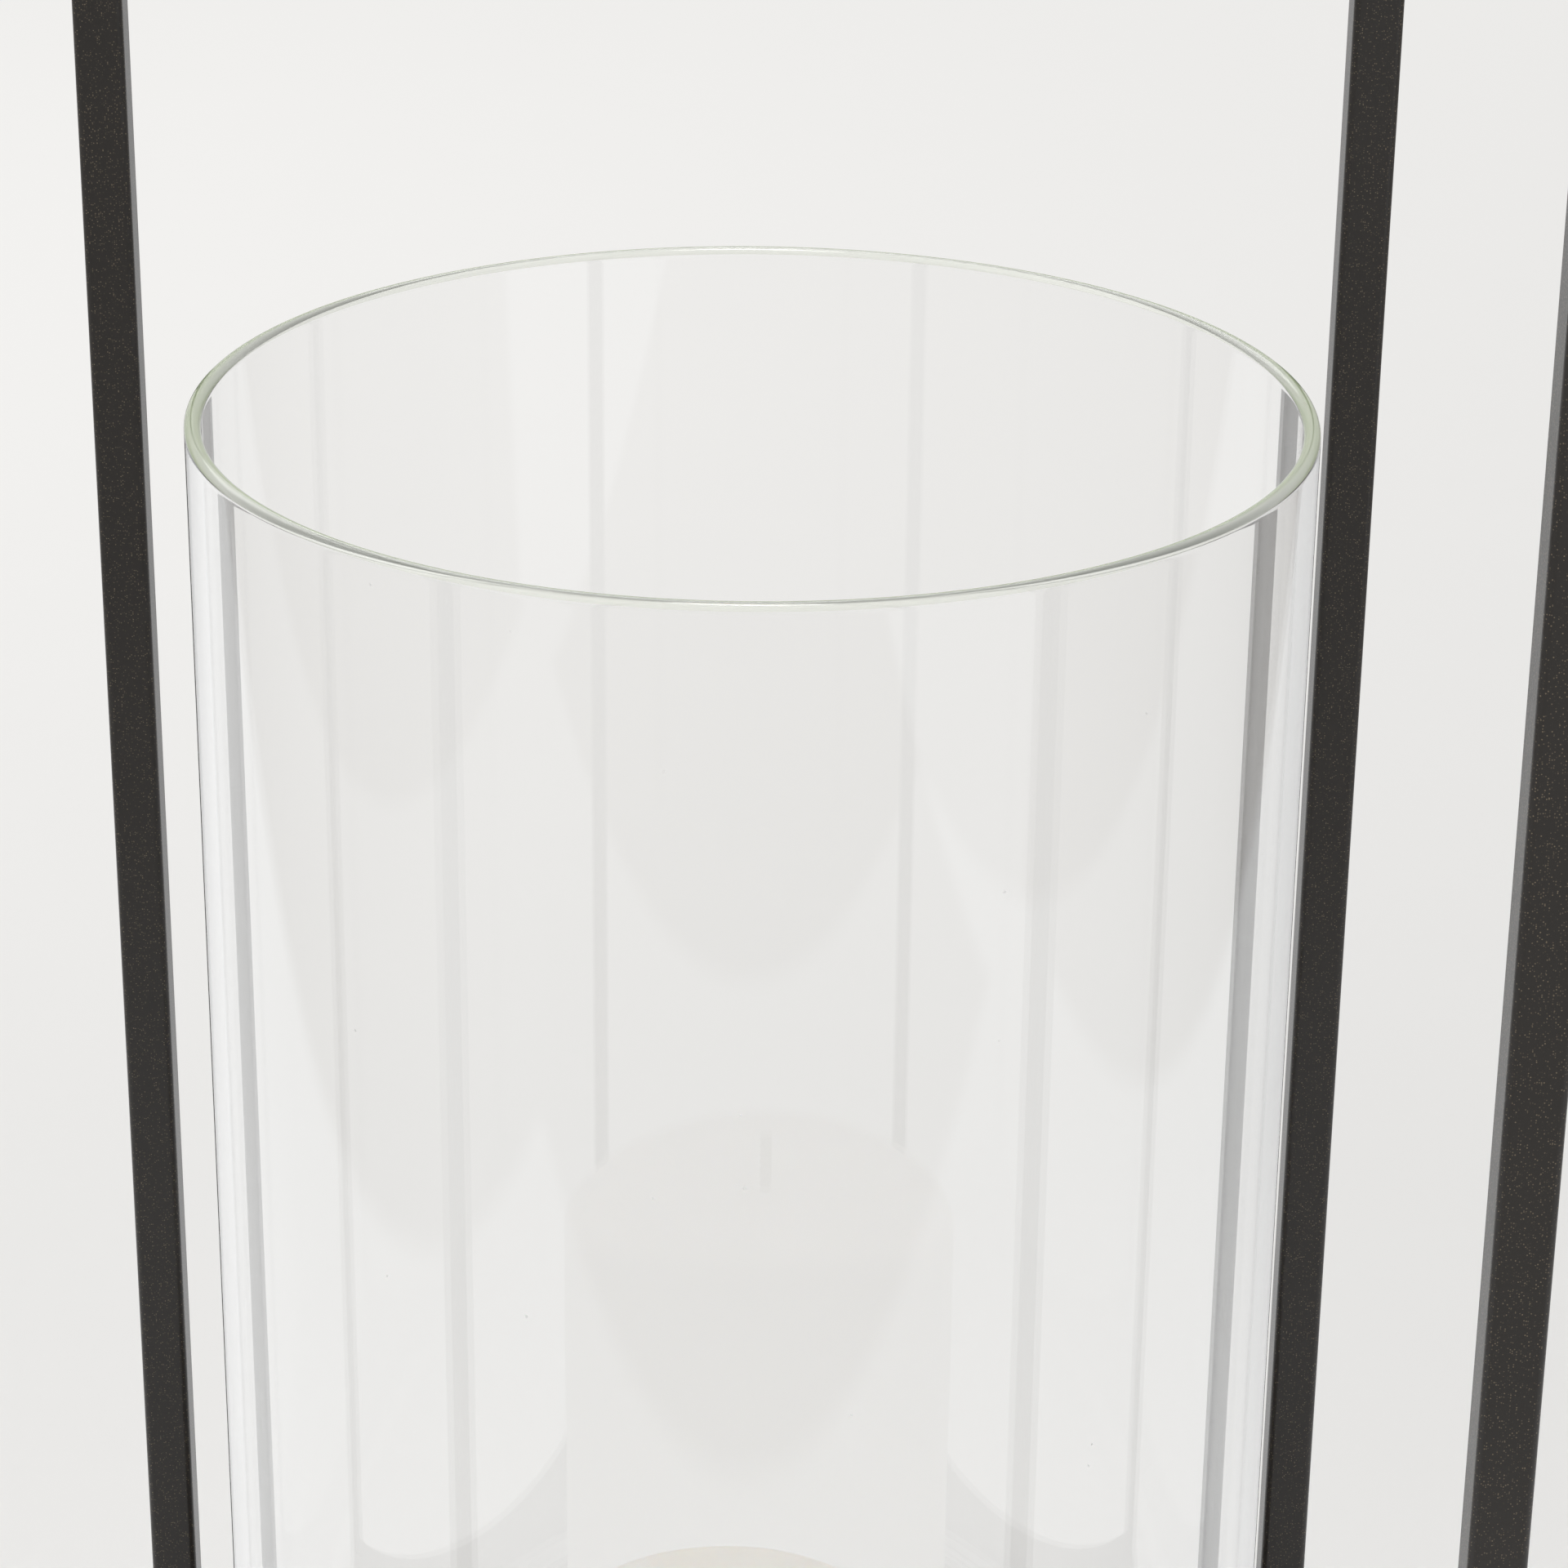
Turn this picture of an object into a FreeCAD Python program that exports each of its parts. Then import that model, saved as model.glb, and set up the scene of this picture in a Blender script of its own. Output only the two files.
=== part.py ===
import FreeCAD, Part
import os
import Sketcher

# Hurricane candle lantern: a loose glass sleeve round a pillar candle, standing on the base plate
# of an open box frame of square steel tube, with a bail handle that folds flat on the top frame.
# Millimetres, +Z up, +X right, -Y towards the viewer. The origin is on the floor, under the
# middle of the frame.

SIZES = {
    # Frame of square tube
    "frame_width": 264.0,
    "frame_height": 560.0,
    "bar_size": 10.0,
    "bar_wall": 1.2,
    "bar_corner": 1.3,
    # Feet and caps that close the ends of the posts
    "foot_thickness": 3.0,
    "cap_thickness": 1.5,
    "plug_depth": 12.0,
    "plug_clearance": 0.05,
    # Base plate and the rivets that hold it on the bottom rails
    "plate_thickness": 2.0,
    "plate_inset": 2.0,
    "plate_notch_gap": 0.3,
    "rivet_radius": 1.6,
    "rivet_clearance": 0.05,
    "rivet_head_radius": 3.2,
    "rivet_head_height": 1.2,
    "rivet_tail": 1.5,
    "rivet_spacing": 150.0,
    # Glass sleeve, the ring that keeps it in place and the gasket that it stands on
    "glass_radius": 100.0,
    "glass_wall": 3.0,
    "glass_height": 406.0,
    "glass_rim_round": 1.3,
    "glass_foot_round": 0.6,
    "glass_play": 4.0,
    "glass_ring_gap": 0.5,
    "ring_wall": 2.0,
    "ring_height": 10.0,
    "ring_round": 0.8,
    "gasket_thickness": 1.5,
    "gasket_width": 11.5,
    "gasket_gap": 0.3,
    # Dish under the candle
    "dish_floor_radius": 48.0,
    "dish_rim_radius": 54.0,
    "dish_height": 9.0,
    "dish_wall": 1.5,
    # Spike that holds the candle, with its stud, washer and nut
    "spike_radius": 2.0,
    "spike_length": 22.0,
    "spike_taper": 8.0,
    "spike_tip_radius": 0.4,
    "flange_radius": 5.0,
    "flange_thickness": 1.2,
    "stud_radius": 2.5,
    "stud_clearance": 0.1,
    "stud_end": 1.5,
    "washer_radius": 5.0,
    "washer_thickness": 1.0,
    "nut_circumradius": 4.62,
    "nut_height": 4.0,
    # Candle and wick
    "candle_radius": 37.5,
    "candle_height": 148.0,
    "candle_round": 3.0,
    "candle_clearance": 0.3,
    "pool_radius": 26.0,
    "pool_slope": 6.0,
    "pool_depth": 2.5,
    "wick_radius": 1.2,
    "wick_clearance": 0.05,
    "wick_root": 40.0,
    "wick_stand": 12.0,
    # Bail handle, its brackets, pins and bumpers
    "handle_radius": 4.0,
    "handle_bend": 15.0,
    "neck_length": 12.0,
    "neck_lap": 2.0,
    "eye_radius": 6.0,
    "eye_thickness": 5.0,
    "eye_clearance": 0.3,
    "eye_floor_gap": 0.5,
    "bracket_base": 2.0,
    "bracket_length": 16.0,
    "pin_radius": 2.5,
    "pin_clearance": 0.05,
    "pin_head_radius": 4.0,
    "pin_head_height": 1.6,
    "bumper_radius": 4.0,
    "bumper_top_radius": 3.4,
    "bumper_gap": 0.3,
    "bumper_spacing": 150.0,
}

# Places worked out from the sizes
BAR_CENTRE = "(sizes.frame_width - sizes.bar_size) / 2"
RAIL_LENGTH = "(sizes.frame_width - 2 * sizes.bar_size)"
POST_LENGTH = "(sizes.frame_height - sizes.foot_thickness - sizes.cap_thickness)"
BORE = "(sizes.bar_size - 2 * sizes.bar_wall)"
PLATE_BOTTOM = "(sizes.foot_thickness + sizes.bar_size)"
PLATE_TOP = f"({PLATE_BOTTOM} + sizes.plate_thickness)"
GLASS_SHIFT = "(sizes.glass_play - sizes.glass_ring_gap)"
RING_INNER = "(sizes.glass_radius + sizes.glass_play)"
GASKET_OUTER = f"({RING_INNER} - sizes.gasket_gap)"
DISH_FLOOR = f"({PLATE_TOP} + sizes.dish_wall)"
SPIKE_TOP = "(sizes.flange_thickness + sizes.spike_length)"
PIVOT_RISE = "(sizes.bracket_base + sizes.eye_floor_gap + sizes.eye_radius)"
PIVOT_HEIGHT = f"(sizes.frame_height + {PIVOT_RISE})"
SLOT_WIDTH = "(sizes.eye_thickness + 2 * sizes.eye_clearance)"
HANDLE_REACH = BAR_CENTRE

CORNERS = {"front_left": (-1, -1), "front_right": (1, -1), "back_left": (-1, 1), "back_right": (1, 1)}
SIDES = {"left": -1, "right": 1}
FULL_TURN = 360
QUARTER_TURN = 90

# Turns that lay a bar's length along X or Y and keep its local X pointing up
X_DIR = FreeCAD.Vector(1, 0, 0)
Y_DIR = FreeCAD.Vector(0, 1, 0)
Z_DIR = FreeCAD.Vector(0, 0, 1)
ALONG_X = FreeCAD.Rotation(Z_DIR, -Y_DIR, X_DIR, "XYZ")
ALONG_Y = FreeCAD.Rotation(Z_DIR, X_DIR, Y_DIR, "XYZ")
UPRIGHT = FreeCAD.Rotation()
UPSIDE_DOWN = FreeCAD.Rotation(X_DIR, 180)

doc = FreeCAD.newDocument("hurricane_lantern")
sheet = doc.addObject("Spreadsheet::Sheet", "sizes")
for row, (alias, number) in enumerate(SIZES.items(), start=1):
    sheet.set(f"A{row}", alias)
    sheet.set(f"B{row}", str(number))
    sheet.setAlias(f"B{row}", alias)
doc.recompute()

pieces = []


def keep(piece):
    """Count an object as a sub-part that gets a file of its own, named by its Label."""
    pieces.append(piece)
    return piece


def value(formula):
    """The number that a formula of the sheet gives now."""
    return float(sheet.evalExpression(formula.replace("sizes.", "")))


def bind(item, **formulas):
    """Tie properties of an object to the sheet."""
    for name, formula in formulas.items():
        item.setExpression(name, formula)
    return item


def place(item, x="0", y="0", z="0", turn=UPRIGHT):
    """Turn an object and tie its place to the sheet."""
    item.Placement = FreeCAD.Placement(FreeCAD.Vector(), turn)
    for axis, formula in (("x", x), ("y", y), ("z", z)):
        item.setExpression(f"Placement.Base.{axis}", formula)
    return item


def solid(kind, name, x="0", y="0", z="0", turn=UPRIGHT, **formulas):
    """A primitive with its sizes and place tied to the sheet."""
    item = doc.addObject(f"Part::{kind}", name)
    bind(item, **formulas)
    return place(item, x, y, z, turn)


def fuse(name, shapes):
    """Several shapes joined into one solid."""
    item = doc.addObject("Part::MultiFuse", name)
    item.Shapes = shapes
    item.Refine = True
    return item


def cut(name, base, tool):
    """One shape with another taken away."""
    item = doc.addObject("Part::Cut", name)
    item.Base = base
    item.Tool = tool
    return item


def group(name, shapes):
    """Like pieces that stay separate solids in one sub-part."""
    item = doc.addObject("Part::Compound", name)
    item.Links = shapes
    return item


def new_body(name):
    return doc.addObject("PartDesign::Body", name)


def new_sketch(body, name, plane_role):
    """An empty sketch on one of the body's own origin planes."""
    sketch = body.newObject("Sketcher::SketchObject", name)
    plane = next(item for item in body.Origin.OriginFeatures if item.Role == plane_role)
    sketch.AttachmentSupport = [(plane, "")]
    sketch.MapMode = "FlatFace"
    return sketch


def tie(sketch, constraint, name, formula):
    """Add a named dimension to a sketch and tie it to the sheet."""
    index = sketch.addConstraint(constraint)
    sketch.renameConstraint(index, name)
    sketch.setExpression(f"Constraints.{name}", formula)


def draw_outline(sketch, corners):
    """Close straight lines through corners, each a pair of formulas: distance right and distance up."""
    points = [FreeCAD.Vector(value(right), value(up), 0) for right, up in corners]
    for start, end in zip(points, points[1:] + points[:1]):
        sketch.addGeometry(Part.LineSegment(start, end))
    last = len(points) - 1
    for line, (point, (right, up)) in enumerate(zip(points, corners)):
        before = line - 1 if line else last
        sketch.addConstraint(Sketcher.Constraint("Coincident", before, 2, line, 1))
        if right == "0":
            sketch.addConstraint(Sketcher.Constraint("PointOnObject", line, 1, -2))
        else:
            tie(sketch, Sketcher.Constraint("DistanceX", line, 1, point.x), f"right_{line}", right)
        if up == "0":
            sketch.addConstraint(Sketcher.Constraint("PointOnObject", line, 1, -1))
        else:
            tie(sketch, Sketcher.Constraint("DistanceY", line, 1, point.y), f"up_{line}", up)


def draw_rectangle(sketch, width, depth):
    """A rectangle centred on the sketch's origin."""
    half_width, half_depth = value(width) / 2, value(depth) / 2
    corners = [
        FreeCAD.Vector(-half_width, -half_depth, 0),
        FreeCAD.Vector(half_width, -half_depth, 0),
        FreeCAD.Vector(half_width, half_depth, 0),
        FreeCAD.Vector(-half_width, half_depth, 0),
    ]
    for line in range(4):
        sketch.addGeometry(Part.LineSegment(corners[line], corners[(line + 1) % 4]))
    for line in range(4):
        sketch.addConstraint(Sketcher.Constraint("Coincident", line, 2, (line + 1) % 4, 1))
    for line, direction in enumerate(("Horizontal", "Vertical", "Horizontal", "Vertical")):
        sketch.addConstraint(Sketcher.Constraint(direction, line))
    sketch.addConstraint(Sketcher.Constraint("Symmetric", 0, 1, 2, 1, -1, 1))
    tie(sketch, Sketcher.Constraint("DistanceX", 0, 1, 0, 2, 2 * half_width), "width", width)
    tie(sketch, Sketcher.Constraint("DistanceY", 1, 1, 1, 2, 2 * half_depth), "depth", depth)


def draw_circle(sketch, name, radius):
    """A circle about the sketch's origin."""
    circle = sketch.addGeometry(Part.Circle(FreeCAD.Vector(), Z_DIR, value(radius)))
    sketch.addConstraint(Sketcher.Constraint("Coincident", circle, 3, -1, 1))
    tie(sketch, Sketcher.Constraint("Radius", circle, value(radius)), name, radius)


def pad(body, sketch, name, length):
    feature = body.newObject("PartDesign::Pad", name)
    feature.Profile = sketch
    return bind(feature, Length=length)


def pocket(body, sketch, name, length, reversed_way=False):
    """Cut a sketch into the body, and make sure that it took something away."""
    doc.recompute()
    before = body.Shape.Volume
    feature = body.newObject("PartDesign::Pocket", name)
    feature.Profile = sketch
    feature.Reversed = reversed_way
    bind(feature, Length=length)
    doc.recompute()
    if not feature.Shape.Volume < before:
        raise RuntimeError(f"{name} cuts nothing")
    return feature


def revolve(body, sketch, name):
    """Turn a sketch once round its upright axis."""
    feature = body.newObject("PartDesign::Revolution", name)
    feature.Profile = sketch
    feature.ReferenceAxis = (sketch, ["V_Axis"])
    feature.Angle = FULL_TURN
    return feature


def round_edges(body, feature, name, radius, wanted):
    """Round the edges of a feature for which the wanted test holds."""
    doc.recompute()
    edges = [f"Edge{number}" for number, edge in enumerate(feature.Shape.Edges, start=1) if wanted(edge)]
    if not edges:
        raise RuntimeError(f"{name} finds no edge")
    fillet = body.newObject("PartDesign::Fillet", name)
    fillet.Base = (feature, edges)
    return bind(fillet, Radius=radius)


def is_upright(edge):
    """True for a straight edge along the local Z axis."""
    start, end = (vertex.Point for vertex in (edge.Vertexes[0], edge.Vertexes[-1]))
    return abs((end - start).dot(Z_DIR)) > 0.999 * edge.Length and len(edge.Vertexes) == 2


def is_circle(edge, radius, height):
    """True for a full circle about Z of that radius at that height."""
    if not isinstance(edge.Curve, Part.Circle) or len(edge.Vertexes) != 1:
        return False
    near_radius = abs(edge.Curve.Radius - value(radius)) < 1e-4
    return near_radius and abs(edge.Curve.Center.z - value(height)) < 1e-4


# Frame


def make_tube(name, length):
    """A square tube with rounded edges, standing on its local origin."""
    body = new_body(name)
    outside = new_sketch(body, f"{name}_outside", "XY_Plane")
    draw_rectangle(outside, "sizes.bar_size", "sizes.bar_size")
    bar = pad(body, outside, f"{name}_bar", length)
    round_edges(body, bar, f"{name}_edges", "sizes.bar_corner", is_upright)
    inside = new_sketch(body, f"{name}_inside", "XY_Plane")
    draw_rectangle(inside, BORE, BORE)
    pocket(body, inside, f"{name}_bore", length, reversed_way=True)
    return body


def make_posts():
    for corner, (right, back) in CORNERS.items():
        post = keep(make_tube(f"post_{corner}", POST_LENGTH))
        place(post, f"{right} * {BAR_CENTRE}", f"{back} * {BAR_CENTRE}", "sizes.foot_thickness")


def drill_rivet_holes(rail):
    """Two holes through the upper wall of a bottom rail."""
    holes = new_sketch(rail, f"{rail.Name}_holes", "YZ_Plane")
    for number, way in enumerate((-1, 1)):
        along = f"{RAIL_LENGTH} / 2 + {way} * sizes.rivet_spacing / 2"
        radius = "sizes.rivet_radius + sizes.rivet_clearance"
        middle = FreeCAD.Vector(0, value(along), 0)
        circle = holes.addGeometry(Part.Circle(middle, Z_DIR, value(radius)))
        holes.addConstraint(Sketcher.Constraint("PointOnObject", circle, 3, -2))
        tie(holes, Sketcher.Constraint("DistanceY", circle, 3, middle.y), f"along_{number}", along)
        tie(holes, Sketcher.Constraint("Radius", circle, value(radius)), f"radius_{number}", radius)
    pocket(rail, holes, f"{rail.Name}_drilling", "sizes.bar_size", reversed_way=True)


def make_rails():
    levels = {
        "top": "sizes.frame_height - sizes.bar_size / 2",
        "bottom": "sizes.foot_thickness + sizes.bar_size / 2",
    }
    start = f"-{RAIL_LENGTH} / 2"
    for level, height in levels.items():
        for side, way in {"front": -1, "back": 1, "left": -1, "right": 1}.items():
            rail = keep(make_tube(f"{level}_rail_{side}", RAIL_LENGTH))
            if level == "bottom":
                drill_rivet_holes(rail)
            if side in SIDES:
                place(rail, f"{way} * {BAR_CENTRE}", start, height, ALONG_Y)
            else:
                place(rail, start, f"{way} * {BAR_CENTRE}", height, ALONG_X)


def make_end_plug(name, thickness):
    """A flange as wide as the tube, and a plug above it that fits the bore."""
    body = new_body(name)
    outside = new_sketch(body, f"{name}_outside", "XY_Plane")
    draw_rectangle(outside, "sizes.bar_size", "sizes.bar_size")
    flange = pad(body, outside, f"{name}_flange", thickness)
    round_edges(body, flange, f"{name}_edges", "sizes.bar_corner", is_upright)
    inside = new_sketch(body, f"{name}_inside", "XY_Plane")
    width = f"{BORE} - 2 * sizes.plug_clearance"
    draw_rectangle(inside, width, width)
    pad(body, inside, f"{name}_plug", f"{thickness} + sizes.plug_depth")
    return body


def make_end_plugs():
    feet = []
    caps = []
    for corner, (right, back) in CORNERS.items():
        x, y = f"{right} * {BAR_CENTRE}", f"{back} * {BAR_CENTRE}"
        feet.append(place(make_end_plug(f"foot_{corner}", "sizes.foot_thickness"), x, y))
        cap = make_end_plug(f"cap_{corner}", "sizes.cap_thickness")
        caps.append(place(cap, x, y, "sizes.frame_height", UPSIDE_DOWN))
    keep(group("post_feet", feet))
    keep(group("post_top_caps", caps))


# Base plate


def rivet_places():
    """Pairs of formulas for the eight rivets, two on each bottom rail."""
    along = "sizes.rivet_spacing / 2"
    for way in (-1, 1):
        for side in (-1, 1):
            yield f"{way} * {along}", f"{side} * {BAR_CENTRE}"
            yield f"{side} * {BAR_CENTRE}", f"{way} * {along}"


def make_base_plate():
    """A square plate on the bottom rails, notched round the posts."""
    wide = "sizes.frame_width - 2 * sizes.plate_inset"
    narrow = f"{RAIL_LENGTH} - 2 * sizes.plate_notch_gap"
    arms = [
        solid("Box", "plate_across", f"-({wide}) / 2", f"-({narrow}) / 2", PLATE_BOTTOM,
              Length=wide, Width=narrow, Height="sizes.plate_thickness"),
        solid("Box", "plate_along", f"-({narrow}) / 2", f"-({wide}) / 2", PLATE_BOTTOM,
              Length=narrow, Width=wide, Height="sizes.plate_thickness"),
    ]
    holes = [
        solid("Cylinder", f"plate_hole_{number}", x, y, PLATE_BOTTOM,
              Radius="sizes.rivet_radius + sizes.rivet_clearance", Height="sizes.plate_thickness")
        for number, (x, y) in enumerate(rivet_places())
    ]
    holes.append(solid("Cylinder", "plate_stud_hole", z=PLATE_BOTTOM, Height="sizes.plate_thickness",
                       Radius="sizes.stud_radius + sizes.stud_clearance"))
    keep(cut("base_plate", fuse("plate_sheet", arms), group("plate_holes", holes)))


def make_rivets():
    """Blind rivets: a shank through plate and tube wall, and a low head on the plate."""
    grip = "sizes.plate_thickness + sizes.bar_wall + sizes.rivet_tail"
    rivets = []
    for number, (x, y) in enumerate(rivet_places()):
        shank = solid("Cylinder", f"rivet_shank_{number}", x, y, f"{PLATE_TOP} - ({grip})",
                      Radius="sizes.rivet_radius", Height=grip)
        head = solid("Cone", f"rivet_head_{number}", x, y, PLATE_TOP, Radius1="sizes.rivet_head_radius",
                     Radius2="sizes.rivet_radius", Height="sizes.rivet_head_height")
        rivets.append(fuse(f"rivet_{number}", [shank, head]))
    keep(group("base_plate_rivets", rivets))


# Glass and its seat


def make_ring(name, inner, outer, height):
    """A flat ring standing on its local origin."""
    body = new_body(name)
    sketch = new_sketch(body, f"{name}_outline", "XY_Plane")
    draw_circle(sketch, "inner", inner)
    draw_circle(sketch, "outer", outer)
    pad(body, sketch, f"{name}_height", height)
    return body


def make_glass_seat():
    ring_outer = f"{RING_INNER} + sizes.ring_wall"
    ring = keep(make_ring("glass_seat_ring", RING_INNER, ring_outer, "sizes.ring_height"))
    round_edges(ring, ring.Tip, "seat_ring_lip", "sizes.ring_round",
                lambda edge: is_circle(edge, RING_INNER, "sizes.ring_height")
                or is_circle(edge, ring_outer, "sizes.ring_height"))
    place(ring, z=PLATE_TOP)
    gasket_inner = f"{GASKET_OUTER} - sizes.gasket_width"
    gasket = keep(make_ring("glass_rest_gasket", gasket_inner, GASKET_OUTER, "sizes.gasket_thickness"))
    place(gasket, z=PLATE_TOP)


def make_glass():
    """The loose sleeve, which stands off the middle of its ring, with a fire-polished rim."""
    inner = "sizes.glass_radius - sizes.glass_wall"
    glass = keep(make_ring("hurricane_glass", inner, "sizes.glass_radius", "sizes.glass_height"))

    def is_rim(edge):
        return any(is_circle(edge, radius, "sizes.glass_height") for radius in (inner, "sizes.glass_radius"))

    def is_foot(edge):
        return any(is_circle(edge, radius, "0") for radius in (inner, "sizes.glass_radius"))

    rim = round_edges(glass, glass.Tip, "glass_rim", "sizes.glass_rim_round", is_rim)
    round_edges(glass, rim, "glass_foot", "sizes.glass_foot_round", is_foot)
    place(glass, x=GLASS_SHIFT, z=f"{PLATE_TOP} + sizes.gasket_thickness")


# Candle and what holds it


def make_turned(name, corners):
    """A body turned from an outline of corners, each a radius and a height."""
    body = new_body(name)
    sketch = new_sketch(body, f"{name}_outline", "XZ_Plane")
    draw_outline(sketch, corners)
    revolve(body, sketch, f"{name}_turning")
    return body


def make_candle_dish():
    hole = "sizes.stud_radius + sizes.stud_clearance"
    dish = keep(make_turned("candle_dish", [
        (hole, "0"),
        ("sizes.dish_floor_radius", "0"),
        ("sizes.dish_rim_radius", "sizes.dish_height"),
        ("sizes.dish_rim_radius - sizes.dish_wall", "sizes.dish_height"),
        ("sizes.dish_floor_radius - sizes.dish_wall", "sizes.dish_wall"),
        (hole, "sizes.dish_wall"),
    ]))
    place(dish, z=PLATE_TOP)


def make_candle_spike():
    """A pointed pin with a flange on the dish and a stud down through dish and plate."""
    below = ("(sizes.dish_wall + sizes.plate_thickness + sizes.washer_thickness"
             " + sizes.nut_height + sizes.stud_end)")
    stud = solid("Cylinder", "spike_stud", z=f"{DISH_FLOOR} - {below}",
                 Radius="sizes.stud_radius", Height=below)
    flange = solid("Cylinder", "spike_flange", z=DISH_FLOOR,
                   Radius="sizes.flange_radius", Height="sizes.flange_thickness")
    shank_length = "(sizes.spike_length - sizes.spike_taper)"
    shank = solid("Cylinder", "spike_shank", z=f"{DISH_FLOOR} + sizes.flange_thickness",
                  Radius="sizes.spike_radius", Height=shank_length)
    point = solid("Cone", "spike_point", z=f"{DISH_FLOOR} + sizes.flange_thickness + {shank_length}",
                  Radius1="sizes.spike_radius", Radius2="sizes.spike_tip_radius", Height="sizes.spike_taper")
    keep(fuse("candle_spike", [stud, flange, shank, point]))


def make_spike_nut():
    """The washer and hexagon nut that draw the stud down under the base plate."""
    bore = "sizes.stud_radius + sizes.stud_clearance"
    washer_bottom = f"{PLATE_BOTTOM} - sizes.washer_thickness"
    washer = make_ring("candle_spike_washer", bore, "sizes.washer_radius", "sizes.washer_thickness")
    keep(place(washer, z=washer_bottom))
    nut_bottom = f"{washer_bottom} - sizes.nut_height"
    hexagon = solid("Prism", "nut_hexagon", z=nut_bottom,
                    Circumradius="sizes.nut_circumradius", Height="sizes.nut_height")
    thread = solid("Cylinder", "nut_thread", z=nut_bottom, Radius=bore, Height="sizes.nut_height")
    keep(cut("candle_spike_nut", hexagon, thread))


def make_candle():
    """A pillar candle with a shallow melted pool, a wick hole and a hole for the spike below."""
    pool_floor = "sizes.candle_height - sizes.pool_depth"
    wick_hole = "sizes.wick_radius + sizes.wick_clearance"
    spike_hole = "sizes.spike_radius + sizes.candle_clearance"
    spike_hole_top = f"{SPIKE_TOP} + sizes.candle_clearance"
    flange_hole = "sizes.flange_radius + sizes.candle_clearance"
    flange_hole_top = "sizes.flange_thickness + sizes.candle_clearance"
    candle = keep(make_turned("candle_body", [
        (flange_hole, "0"),
        ("sizes.candle_radius", "0"),
        ("sizes.candle_radius", "sizes.candle_height"),
        ("sizes.pool_radius", "sizes.candle_height"),
        ("sizes.pool_radius - sizes.pool_slope", pool_floor),
        (wick_hole, pool_floor),
        (wick_hole, "sizes.wick_root"),
        ("0", "sizes.wick_root"),
        ("0", spike_hole_top),
        (spike_hole, spike_hole_top),
        (spike_hole, flange_hole_top),
        (flange_hole, flange_hole_top),
    ]))
    round_edges(candle, candle.Tip, "candle_shoulder", "sizes.candle_round",
                lambda edge: is_circle(edge, "sizes.candle_radius", "sizes.candle_height"))
    place(candle, z=DISH_FLOOR)
    keep(solid("Cylinder", "candle_wick", z=f"{DISH_FLOOR} + sizes.wick_root", Radius="sizes.wick_radius",
               Height="sizes.candle_height + sizes.wick_stand - sizes.wick_root"))


# Bail handle


def make_bracket(side, way):
    """A clevis on the middle of a top rail: two round-topped ears on a common base."""
    name = f"handle_bracket_{side}"
    inner_face = f"{way} * {BAR_CENTRE} - sizes.bar_size / 2"
    block = solid("Box", f"{name}_block", inner_face, "-sizes.bracket_length / 2", "sizes.frame_height",
                  Length="sizes.bar_size", Width="sizes.bracket_length", Height=PIVOT_RISE)
    crown = solid("Cylinder", f"{name}_crown", inner_face, "0", PIVOT_HEIGHT, ALONG_X,
                  Radius="sizes.bracket_length / 2", Height="sizes.bar_size")
    slot = solid("Box", f"{name}_slot", f"{way} * {BAR_CENTRE} - {SLOT_WIDTH} / 2",
                 "-sizes.bracket_length / 2", "sizes.frame_height + sizes.bracket_base",
                 Length=SLOT_WIDTH, Width="sizes.bracket_length",
                 Height=f"{PIVOT_RISE} + sizes.bracket_length / 2")
    hole = solid("Cylinder", f"{name}_hole", inner_face, "0", PIVOT_HEIGHT, ALONG_X,
                 Radius="sizes.pin_radius + sizes.pin_clearance", Height="sizes.bar_size")
    keep(cut(name, fuse(f"{name}_ears", [block, crown]), fuse(f"{name}_cuts", [slot, hole])))


def make_pivot_pins():
    """Rivet-like pins across the brackets, headed on both sides."""
    pins = []
    for side, way in SIDES.items():
        inner_face = f"{way} * {BAR_CENTRE} - sizes.bar_size / 2"
        outer_face = f"{way} * {BAR_CENTRE} + sizes.bar_size / 2"
        shank = solid("Cylinder", f"pin_shank_{side}", inner_face, "0", PIVOT_HEIGHT, ALONG_X,
                      Radius="sizes.pin_radius", Height="sizes.bar_size")
        first_head = solid("Cone", f"pin_low_head_{side}", f"{inner_face} - sizes.pin_head_height", "0",
                           PIVOT_HEIGHT, ALONG_X, Radius1="sizes.pin_radius",
                           Radius2="sizes.pin_head_radius", Height="sizes.pin_head_height")
        second_head = solid("Cone", f"pin_high_head_{side}", outer_face, "0", PIVOT_HEIGHT, ALONG_X,
                            Radius1="sizes.pin_head_radius", Radius2="sizes.pin_radius",
                            Height="sizes.pin_head_height")
        pins.append(fuse(f"pin_{side}", [shank, first_head, second_head]))
    keep(group("handle_pivot_pins", pins))


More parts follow.
